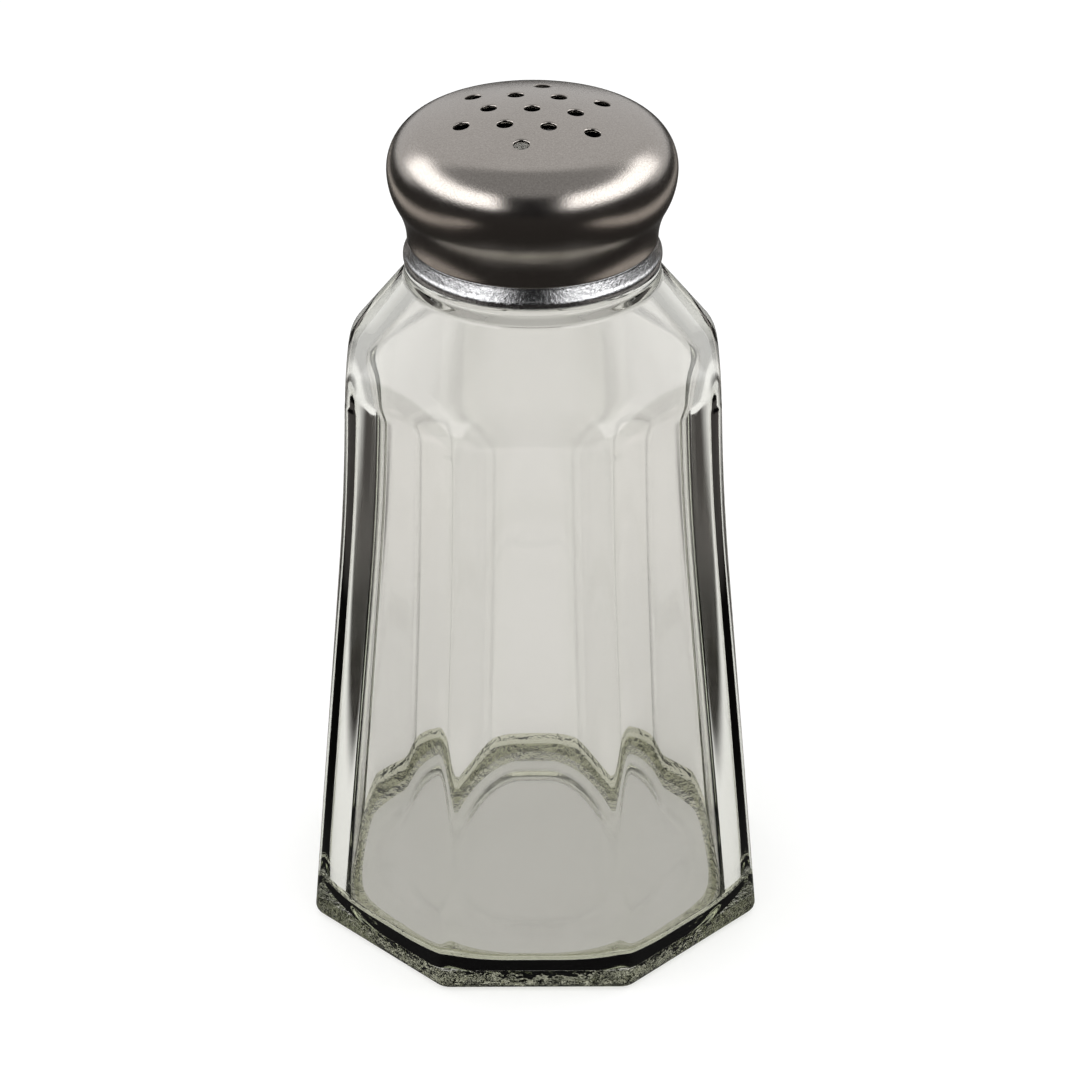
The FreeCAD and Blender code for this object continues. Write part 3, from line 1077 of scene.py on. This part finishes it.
@dataclass
class CapShell:
    """The pressed steel shell with its domed, perforated top."""

    around: int = 256
    metal: float = 0.45
    apex_height: float = 98.4
    dome_radius: float = 44.5
    cap_radius: float = 15.9
    wide_height: float = 91.57
    under_round: float = 8.1
    waist_radius: float = 13.83
    seam_height: float = 83.35
    lip_round: float = 0.2
    plate_radius: float = 10.4
    hole_radius: float = 0.88
    hole_lip: float = 0.26
    lip_fall: float = 0.6
    lip_rows: int = 6
    punch_end: float = 0.6
    burr_end: float = 0.85
    burr: float = 0.02
    hole_pitch: float = 4.73
    hole_turn: float = -8.0
    hole_sides: int = 40
    mesh_step: float = 0.42
    edge_margin: float = 0.55
    lip_margin: float = 0.6
    lip_metal: float = 0.9

    def rim_round(self) -> float:
        """Return the radius of the rounded rim that meets the dome smoothly.

        Returns:
            The radius in millimetres.
        """
        rise = self.wide_height - self.apex_height + self.dome_radius
        span = 2 * (self.cap_radius - self.dome_radius)
        return (self.cap_radius ** 2 + rise ** 2 - self.dome_radius ** 2) / span

    def skin(self, inset: float) -> list[Point]:
        """Return the outline of one skin, from the plate's edge down to the waist.

        Args:
            inset: How far the skin lies inside the outer one.

        Returns:
            The outline's points.
        """
        rim = self.rim_round()
        rise = self.wide_height - self.apex_height + self.dome_radius
        lean = math.degrees(math.atan2(rise, self.cap_radius - rim))
        sweep = 2 * math.atan2(self.cap_radius - self.waist_radius, self.wide_height - self.seam_height)
        hollow = (self.wide_height - self.seam_height) / math.sin(sweep) - self.under_round
        plate = math.degrees(math.acos(self.plate_radius / (self.dome_radius - inset)))
        dome_centre = (0.0, self.apex_height - self.dome_radius)
        rim_centre = (self.cap_radius - rim, self.wide_height)
        under_centre = (self.cap_radius - self.under_round, self.wide_height)
        waist_centre = (self.waist_radius + hollow, self.seam_height)
        sweep_degrees = math.degrees(sweep)
        outline = arc(dome_centre, self.dome_radius - inset, plate, lean, steps=6)
        outline += arc(rim_centre, rim - inset, lean, 0, steps=26)[1:]
        outline += arc(under_centre, self.under_round - inset, 0, -sweep_degrees, steps=16)[1:]
        outline += arc(waist_centre, hollow + inset, 180 - sweep_degrees, 180, steps=16)[1:]
        return outline

    def outline(self) -> list[Point]:
        """Return the outline from the plate down the outside, round the lip and up the inside.

        Returns:
            The outline's points.
        """
        outer = self.skin(0.0)
        inner = self.skin(self.metal)
        lip = self.lip_round
        outer[-1] = (self.waist_radius, self.seam_height + lip)
        inner[-1] = (self.waist_radius - self.metal, self.seam_height + lip)
        outer_lip = (self.waist_radius - lip, self.seam_height + lip)
        inner_lip = (self.waist_radius - self.metal + lip, self.seam_height + lip)
        lower = arc(outer_lip, lip, 0, -90, steps=4)[1:]
        lower += arc(inner_lip, lip, -90, -180, steps=4)[:-1]
        return outer + lower + inner[::-1]

    def dome_level(self, x: float, y: float, inset: float) -> float:
        """Return the height of a skin of the dome above a place."""
        radius = self.dome_radius - inset
        return self.apex_height - self.dome_radius + math.sqrt(radius ** 2 - x * x - y * y)

    def hole_centres(self) -> list[Point]:
        """Return the centres of the holes: one, six round it and six further out.

        Returns:
            The centres.
        """
        centres = [(0.0, 0.0)]
        for reach, offset in ((self.hole_pitch, 0.0), (self.hole_pitch * math.sqrt(3), 30.0)):
            for number in range(6):
                angle = math.radians(self.hole_turn + offset + 60 * number)
                centres.append((reach * math.cos(angle), reach * math.sin(angle)))
        return centres

    def plate(self) -> tuple[list[Vector], Faces]:
        """Build the flat net of the plate with its holes cut out.

        Returns:
            The flat vertices, edge first and then each hole's circle, and the triangles between them.
        """
        points: list[Vector] = []
        edges: list[tuple[int, int]] = []
        circles = [((0.0, 0.0), self.plate_radius, self.around)]
        lip_reach = self.hole_radius + self.hole_lip
        circles += [(centre, lip_reach, self.hole_sides) for centre in self.hole_centres()]
        for (centre_x, centre_y), radius, sides in circles:
            first = len(points)
            for side in range(sides):
                angle = TURN * side / sides
                x = centre_x + radius * math.cos(angle)
                y = centre_y + radius * math.sin(angle)
                points.append(Vector((x, y)))
                edges.append((first + side, first + (side + 1) % sides))
        rim_count = len(points)
        steps = int(self.plate_radius / self.mesh_step) + 1
        for row in range(-steps, steps + 1):
            for column in range(-steps, steps + 1):
                x = (column + 0.5 * (row % 2)) * self.mesh_step
                y = row * self.mesh_step * math.sqrt(3) / 2
                if self.is_clear(x, y):
                    points.append(Vector((x, y)))
        flat, _, triangles, origins, _, _ = delaunay_2d_cdt(points, edges, [], 0, NET_NEAR)
        if len(flat) != len(points) or any(len(origin) != 1 for origin in origins):
            LOG.warning("the plate's net changed its points")
        kept = [tuple(triangle) for triangle in triangles if self.is_metal(flat, triangle)]
        LOG.info("plate: %d rim points, %d faces", rim_count, len(kept))
        return [Vector((point.x, point.y, 0.0)) for point in flat], kept

    def is_clear(self, x: float, y: float) -> bool:
        """Return whether a net point keeps off the edge and the holes.

        Args:
            x: The point's place to the side.
            y: The point's place to the back.

        Returns:
            True where it does.
        """
        margin = self.mesh_step * self.edge_margin
        if math.hypot(x, y) > self.plate_radius - margin:
            return False
        reach = self.hole_radius + self.hole_lip + margin * self.lip_margin
        return all(math.hypot(x - cx, y - cy) > reach for cx, cy in self.hole_centres())

    def is_metal(self, flat: Sequence[Vector], face: Sequence[int]) -> bool:
        """Return whether a face of the net lies on metal and not over a hole.

        Args:
            flat: The net's vertices.
            face: The face's vertex numbers.

        Returns:
            True where it does.
        """
        middle = sum((flat[index] for index in face), Vector((0.0, 0.0))) / len(face)
        if middle.length > self.plate_radius:
            return False
        reach = self.hole_radius + self.hole_lip * self.lip_metal
        return all((middle - Vector(centre)).length > reach for centre in self.hole_centres())

    def hole_rings(self, centre: Point) -> list[Ring]:
        """Return the rings of one punched hole, from the top skin to the under skin.

        Args:
            centre: The hole's centre.

        Returns:
            The rings, the first and last of which lie on the two skins.
        """
        lip = self.hole_lip
        profile = [(lip, 0.0)]
        for step in range(1, self.lip_rows + 1):
            turn = math.radians(90 * step / self.lip_rows)
            profile.append((lip * (1 - math.sin(turn)), -self.lip_fall * lip * (1 - math.cos(turn))))
        profile += [(0.0, -self.punch_end * self.metal), (self.burr, -self.burr_end * self.metal)]
        rings = [self.hole_ring(centre, reach, 0.0, drop) for reach, drop in profile]
        rings.append(self.hole_ring(centre, lip, self.metal, 0.0))
        return rings

    def hole_ring(self, centre: Point, reach: float, inset: float, drop: float) -> Ring:
        """Return one ring round a hole.

        Args:
            centre: The hole's centre.
            reach: How far the ring lies outside the hole's wall.
            inset: How far the skin that it follows lies inside the outer one.
            drop: How far it lies above that skin, negative below.

        Returns:
            The ring.
        """
        ring = []
        for side in range(self.hole_sides):
            angle = TURN * side / self.hole_sides
            x = centre[0] + (self.hole_radius + reach) * math.cos(angle)
            y = centre[1] + (self.hole_radius + reach) * math.sin(angle)
            ring.append(Vector((x, y, self.dome_level(x, y, inset) + drop)))
        return ring

    def build(self) -> bpy.types.Object:
        """Build the shell as one closed skin.

        Returns:
            The shell.
        """
        rings = [turned_ring(radius, level, self.around) for radius, level in self.outline()]
        vertices, faces = skin_rings(rings, closed=False)
        flat, net = self.plate()
        for inset in (0.0, self.metal):
            first = len(vertices)
            vertices += [Vector((p.x, p.y, self.dome_level(p.x, p.y, inset))) for p in flat]
            faces += [tuple(first + index for index in face) for face in net]
        for centre in self.hole_centres():
            hole_vertices, hole_faces = skin_rings(self.hole_rings(centre), closed=False)
            first = len(vertices)
            vertices += hole_vertices
            faces += [tuple(first + index for index in face) for face in hole_faces]
        shell = new_object("cap_dome_shell", vertices, faces)
        self.round_off(shell.data)
        return shell

    def round_off(self, mesh: bpy.types.Mesh) -> None:
        """Shade the dome as a true sphere and mark the faces that look inwards, which take the steel painted
        dark as shade.

        Args:
            mesh: The shell's mesh.
        """
        centre = Vector((0.0, 0.0, self.apex_height - self.dome_radius)) * MM
        normals = []
        for vertex in mesh.vertices:
            way = vertex.co - centre
            outside = abs(way.length - self.dome_radius * MM) < NEAR
            inside = abs(way.length - (self.dome_radius - self.metal) * MM) < NEAR
            if outside or inside:
                normals.append(way.normalized() * (1.0 if outside else -1.0))
            else:
                normals.append(vertex.normal.copy())
        mesh.normals_split_custom_set_from_vertices(normals)
        hollow = Vector((0.0, 0.0, self.wide_height)) * MM
        for face in mesh.polygons:
            # Inward faces get the second finish, the steel painted dark as the shade inside the cap
            face.material_index = int(face.normal.dot(face.center - hollow) < 0.0)


@dataclass
class ThreadedSleeve:
    """The plated sleeve: flange, thin wall with its rolled thread, and flared band."""

    around: int = 256
    inner: float = 12.95
    outer: float = 13.38
    low: float = 80.9
    band_radius: float = 14.3
    band_edge: float = 0.45
    seam_height: float = 83.35
    seam_radius: float = 13.65
    flange_low: float = 91.35
    flange_high: float = 91.8
    flange_round: float = 0.4
    flange_bore: float = 9.9
    flange_edge: float = 0.22
    flange_land: float = 0.2
    lip_round: float = 0.15
    flare_radius: float = 0.9
    flare_sweep: float = 38.0
    seam_round: float = 0.12
    seam_start: float = 10.0
    wall_rows: int = 90
    thread: Helix = Helix(low=84.4, pitch=3.0, turns=1.25, depth=0.8, root=1.1, crest=0.5)

    def outline(self) -> list[Point]:
        """Return the outline, from inside the band, round it, up the wall and over the flange.

        Returns:
            The outline's points.
        """
        edge = self.band_edge
        corner = self.lip_round
        seam = self.seam_round
        bead = self.flange_edge
        flare_centre = (self.band_radius - self.flare_radius, self.low + edge + corner)
        outline = [(self.inner, self.low + corner)]
        outline += arc((self.inner + corner, self.low + corner), corner, 180, 270, steps=4)[1:]
        outline += straight(outline[-1], (self.band_radius - edge, self.low), steps=4)
        outline += arc((self.band_radius - edge, self.low + edge), edge, -90, 0, steps=10)[1:]
        outline += arc(flare_centre, self.flare_radius, 0, self.flare_sweep, steps=8)[1:]
        outline += straight(outline[-1], (self.seam_radius, self.seam_height - seam), steps=6)
        seam_centre = (self.seam_radius - seam, self.seam_height - seam)
        outline += arc(seam_centre, seam, self.seam_start, 90, steps=4)
        outline += straight(outline[-1], (self.outer, self.seam_height), steps=1)
        outline += straight(outline[-1], (self.outer, self.flange_high - self.flange_round), steps=8)
        round_centre = (self.outer - self.flange_round, self.flange_high - self.flange_round)
        outline += arc(round_centre, self.flange_round, 0, 90, steps=6)[1:]
        outline += straight(outline[-1], (self.flange_bore + self.flange_land, self.flange_high), steps=6)
        outline += arc((self.flange_bore + bead, self.flange_high - bead), bead, 90, 270, steps=8)[1:]
        outline += straight(outline[-1], (self.inner, self.flange_low), steps=5)
        return outline

    def build(self) -> bpy.types.Object:
        """Build the sleeve as one closed skin with the thread raised from its inner wall.

        Returns:
            The sleeve.
        """
        rings = [turned_ring(radius, level, self.around) for radius, level in self.outline()]
        angles = [TURN * column / self.around for column in range(self.around)]
        for row in range(1, self.wall_rows):
            level = blend(self.flange_low, self.low + self.lip_round, row / self.wall_rows)
            ring = []
            for angle in angles:
                radius = self.inner - self.thread.height(angle, level)
                ring.append(Vector((radius * math.cos(angle), radius * math.sin(angle), level)))
            rings.append(ring)
        vertices, faces = skin_rings(rings, closed=True)
        return new_object("cap_threaded_sleeve", vertices, faces)


@dataclass
class RimSeal:
    """The liner ring between the rim and the flange."""

    around: int = 192
    bore: float = 9.8
    outer: float = 12.6
    low: float = 90.6
    high: float = 91.35
    edge: float = 0.2

    def build(self) -> bpy.types.Object:
        """Build the liner as a flat ring with softened edges.

        Returns:
            The liner.
        """
        edge = self.edge
        outline = arc((self.outer - edge, self.low + edge), edge, -90, 0, steps=4)
        outline += arc((self.outer - edge, self.high - edge), edge, 0, 90, steps=4)
        outline += straight(outline[-1], (self.bore + edge, self.high), steps=3)[:-1]
        outline += arc((self.bore + edge, self.high - edge), edge, 90, 180, steps=4)
        outline += arc((self.bore + edge, self.low + edge), edge, 180, 270, steps=4)
        outline += straight(outline[-1], outline[0], steps=3)[:-1]
        rings = [turned_ring(radius, level, self.around) for radius, level in outline]
        vertices, faces = skin_rings(rings, closed=True)
        return new_object("rim_liner", vertices, faces)


# The studio


@dataclass(frozen=True)
class Softbox:
    """A soft rectangular light aimed at the shaker."""

    name: str
    place: tuple[float, float, float]
    width: float
    height: float
    power: float
    aim: tuple[float, float, float] = (0.0, 0.0, 0.05)

    def build(self) -> bpy.types.Object:
        """Place the light and turn it to its aim.

        Returns:
            The light.
        """
        lamp = bpy.data.lights.new(self.name, "AREA")
        lamp.shape = "RECTANGLE"
        lamp.size = self.width
        lamp.size_y = self.height
        lamp.energy = self.power
        item = bpy.data.objects.new(self.name, lamp)
        item.location = self.place
        direction = Vector(self.aim) - Vector(self.place)
        item.rotation_euler = direction.to_track_quat("-Z", "Y").to_euler()
        item.visible_glossy = False
        item.visible_transmission = False
        bpy.context.scene.collection.objects.link(item)
        return item


@dataclass(frozen=True)
class Window:
    """A soft-edged range of one axis of a direction or a place."""

    low: float
    high: float
    edge: float

    def share(self, graph: Graph, value: bpy.types.NodeSocket) -> bpy.types.NodeSocket:
        """Return 1 inside the window, 0 outside it and a soft step between.

        Args:
            graph: The graph to work it out in.
            value: The place along the axis.

        Returns:
            The share.
        """
        rise = graph.step(value, self.low - self.edge, self.low + self.edge)
        fall = graph.step(value, self.high + self.edge, self.high - self.edge)
        return graph.math("MULTIPLY", rise, fall)


@dataclass(frozen=True)
class Zone:
    """A soft-edged stretch of the table, the same to the left and to the right."""

    across: Window
    along: Window

    def share(
        self, graph: Graph, across: bpy.types.NodeSocket, along: bpy.types.NodeSocket
    ) -> bpy.types.NodeSocket:
        """Return 1 inside the zone, 0 outside it and a soft step between.

        Args:
            graph: The graph to work it out in.
            across: The distance to the side of the shaker.
            along: The place from front to back.

        Returns:
            The share.
        """
        return graph.math("MULTIPLY", self.across.share(graph, across), self.along.share(graph, along))


@dataclass(frozen=True)
class Surroundings:
    """What mirrors and glass show: a pale backdrop, a ceiling, two side windows and a dim room."""

    ambient: float = 0.62
    room: float = 0.012
    backdrop: float = 0.66
    backdrop_span: Window = Window(0.25, 2.0, 0.15)
    ceiling: float = 0.34
    ceiling_span: Window = Window(0.66, 2.0, 0.10)
    side_light: float = 2.5
    side_across: Window = Window(0.42, 2.0, 0.07)
    side_up: Window = Window(0.19, 0.64, 0.09)
    side_along: Window = Window(-0.95, 0.55, 0.1)

    def build(self) -> None:
        """Build the world's nodes."""
        world = bpy.data.worlds.new("studio_world")
        bpy.context.scene.world = world
        world.use_nodes = True
        graph = Graph(world.node_tree)
        parts = graph.add("ShaderNodeSeparateXYZ")
        graph.join(graph.add("ShaderNodeTexCoord").outputs["Generated"], parts.inputs[0])
        across = graph.math("ABSOLUTE", parts.outputs["X"], 0.0)
        along = parts.outputs["Y"]
        up = parts.outputs["Z"]
        path = graph.add("ShaderNodeLightPath")
        backdrop = graph.math("MULTIPLY", self.backdrop_span.share(graph, along), self.backdrop)
        ceiling = graph.math("MULTIPLY", self.ceiling_span.share(graph, up), self.ceiling)
        side = graph.math("MULTIPLY", self.side_across.share(graph, across), self.side_up.share(graph, up))
        side = graph.math("MULTIPLY", side, self.side_along.share(graph, along))
        side = graph.math("MULTIPLY", side, graph.math("MULTIPLY", graph.mirrored(path), self.side_light))
        seen = graph.math("MAXIMUM", graph.math("MAXIMUM", backdrop, ceiling), side)
        shown = self.shine(graph, graph.math("MAXIMUM", seen, self.room))
        lit = graph.mix_shader(graph.bent(path), self.shine(graph, self.ambient), shown)
        whole = graph.mix_shader(path.outputs["Is Camera Ray"], lit, self.shine(graph, 1.0))
        graph.show(whole, "ShaderNodeOutputWorld")

    @staticmethod
    def shine(graph: Graph, strength: bpy.types.NodeSocket | float) -> bpy.types.Node:
        """Return a white background of a strength.

        Args:
            graph: The world's graph.
            strength: The strength, from a node or plain.

        Returns:
            The background node.
        """
        node = graph.add("ShaderNodeBackground")
        graph.feed(node.inputs["Color"], WHITE)
        graph.feed(node.inputs["Strength"], strength)
        return node


@dataclass(frozen=True)
class TableTop:
    """The white sweep under the shaker, with the dark flags and warm cards that mirrors and glass see."""

    size: float = 6.0
    drop: float = 0.00002
    paint: Colour = (0.8, 0.8, 0.8)
    paint_shade: float = 0.985
    paint_grain: float = 900.0
    paint_detail: float = 2.0
    lift: float = 0.24
    dim: float = 0.035
    near_mirror: float = 0.08
    sweep: Zone = Zone(Window(-1.0, 0.056, 0.014), Window(-0.05, 0.30, 0.03))
    flag: Zone = Zone(Window(0.062, 0.15, 0.01), Window(-0.14, 0.10, 0.03))
    card: Zone = Zone(Window(0.128, 0.185, 0.01), Window(-0.14, 0.4, 0.03))
    card_light: float = 0.55
    card_colour: Colour = (1.0, 0.93, 0.86)

    def build(self) -> bpy.types.Object:
        """Build the table top.

        Returns:
            The table top, marked as stage.
        """
        mesh = bpy.data.meshes.new("table_top")
        half = self.size / 2
        corners = [(-half, -half, 0), (half, -half, 0), (half, half, 0), (-half, half, 0)]
        mesh.from_pydata(corners, [], [(0, 1, 2, 3)])
        item = bpy.data.objects.new("table_top", mesh)
        item.location.z = -self.drop
        bpy.context.scene.collection.objects.link(item)
        mesh.materials.append(self.finish())
        return item

    def finish(self) -> bpy.types.Material:
        """Build the paint: white to the camera, and dim where mirrors and glass see the unlit room.

        Returns:
            The material.
        """
        material, graph = new_material("table_white")
        place = graph.add("ShaderNodeTexCoord").outputs["Object"]
        parts = graph.add("ShaderNodeSeparateXYZ")
        graph.join(place, parts.inputs[0])
        across = graph.math("ABSOLUTE", parts.outputs["X"], 0.0)
        along = parts.outputs["Y"]
        path = graph.add("ShaderNodeLightPath")
        bent = graph.bent(path)
        mirror = graph.mirrored(path)
        lit = graph.math("MULTIPLY", self.sweep.share(graph, across, along), self.near_mirror)
        unlit = graph.math("MULTIPLY", mirror, graph.math("SUBTRACT", 1.0, lit))
        through = graph.math("SUBTRACT", bent, mirror)
        flagged = graph.math("MULTIPLY", self.flag.share(graph, across, along), through)
        paint = graph.add("ShaderNodeBsdfDiffuse")
        shade = tuple(channel * self.paint_shade for channel in self.paint)
        grain = graph.noise(place, self.paint_grain, self.paint_detail)
        graph.join(graph.mix(grain, self.paint, shade), paint.inputs["Color"])
        lift = graph.add("ShaderNodeEmission")
        seen = graph.math("MAXIMUM", path.outputs["Is Camera Ray"], bent)
        graph.join(graph.math("MULTIPLY", seen, self.lift), lift.inputs["Strength"])
        bright = graph.add("ShaderNodeAddShader")
        graph.join(paint.outputs[0], bright.inputs[0])
        graph.join(lift.outputs[0], bright.inputs[1])
        card = graph.math("MULTIPLY", self.card.share(graph, across, along), mirror)
        card = graph.math("MULTIPLY", card, self.card_light)
        dim = graph.add("ShaderNodeEmission")
        graph.feed(dim.inputs["Color"], self.card_colour)
        graph.join(graph.math("ADD", card, self.dim), dim.inputs["Strength"])
        graph.show(graph.mix_shader(graph.math("ADD", flagged, unlit), bright, dim))
        return material


@dataclass
class Studio:
    """The soft lights and the camera round the table and the surroundings."""

    elevation: float = 29.48
    distance: float = 0.4034
    target: tuple[float, float, float] = (0.00069, 0.0, 0.0449)
    focal_pixels: float = 3500.0
    frame_pixels: float = 1080.0
    sensor: float = 36.0
    roll: float = -0.2
    clip_start: float = 0.01
    clip_end: float = 20.0
    softboxes: tuple[Softbox, ...] = (
        Softbox("left_softbox", (-0.5, -0.1, 0.5), 0.5, 0.4, 2.4),
        Softbox("right_softbox", (0.45, 0.15, 0.5), 0.4, 0.4, 1.6),
    )

    def camera(self) -> bpy.types.Object:
        """Place the camera at the photograph's viewing angle.

        Returns:
            The camera.
        """
        lens = bpy.data.cameras.new("camera")
        lens.sensor_width = self.sensor
        lens.lens = self.focal_pixels / self.frame_pixels * self.sensor
        lens.clip_start = self.clip_start
        lens.clip_end = self.clip_end
        item = bpy.data.objects.new("camera", lens)
        tilt = math.radians(self.elevation)
        back = Vector((0.0, -math.cos(tilt), math.sin(tilt)))
        turn = (-back).to_track_quat("-Z", "Y").to_matrix().to_4x4()
        spin = Matrix.Rotation(math.radians(self.roll), 4, "Z")
        item.matrix_world = Matrix.Translation(Vector(self.target) + back * self.distance) @ turn @ spin
        bpy.context.scene.collection.objects.link(item)
        bpy.context.scene.camera = item
        return item

    def build(self) -> None:
        """Set up the whole studio."""
        TableTop().build()
        Surroundings().build()
        for softbox in self.softboxes:
            softbox.build()
        self.camera()
        bpy.context.scene.view_settings.view_transform = "Standard"


def fit_out(
    piece: bpy.types.Object, finishes: Sequence[bpy.types.Material], body: Body, node: str
) -> None:
    """Dress a piece, put it on its body and let it stand for its CAD node.

    Args:
        piece: The piece.
        finishes: Its materials, in the order of its faces' numbers.
        body: The body that it rides on.
        node: The CAD node that it replaces.
    """
    for finish in finishes:
        piece.data.materials.append(finish)
    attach(piece, body.value)
    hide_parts(node)
    LOG.info("%s: %d faces on %s for %s", piece.name, len(piece.data.polygons), body.value, node)


def main() -> None:
    """Build the shaker's pieces in order and then the studio."""
    logging.basicConfig(level=logging.INFO, format="%(name)s: %(message)s")
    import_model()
    fit_out(GlassJar().build(), [ClearGlass().build()], Body.JAR, "glass_jar")
    fit_out(RimSeal().build(), [SealLiner().build()], Body.SEAL, "rim_seal")
    fit_out(ThreadedSleeve().build(), [SLEEVE_METAL.build()], Body.CAP, "threaded_sleeve")
    shell_finishes = [SHELL_STEEL.build(), SHELL_INSIDE_PAINTED_SHADE.build()]
    fit_out(CapShell().build(), shell_finishes, Body.CAP, "cap_shell")
    Studio().build()


if __name__ == "__main__":
    main()
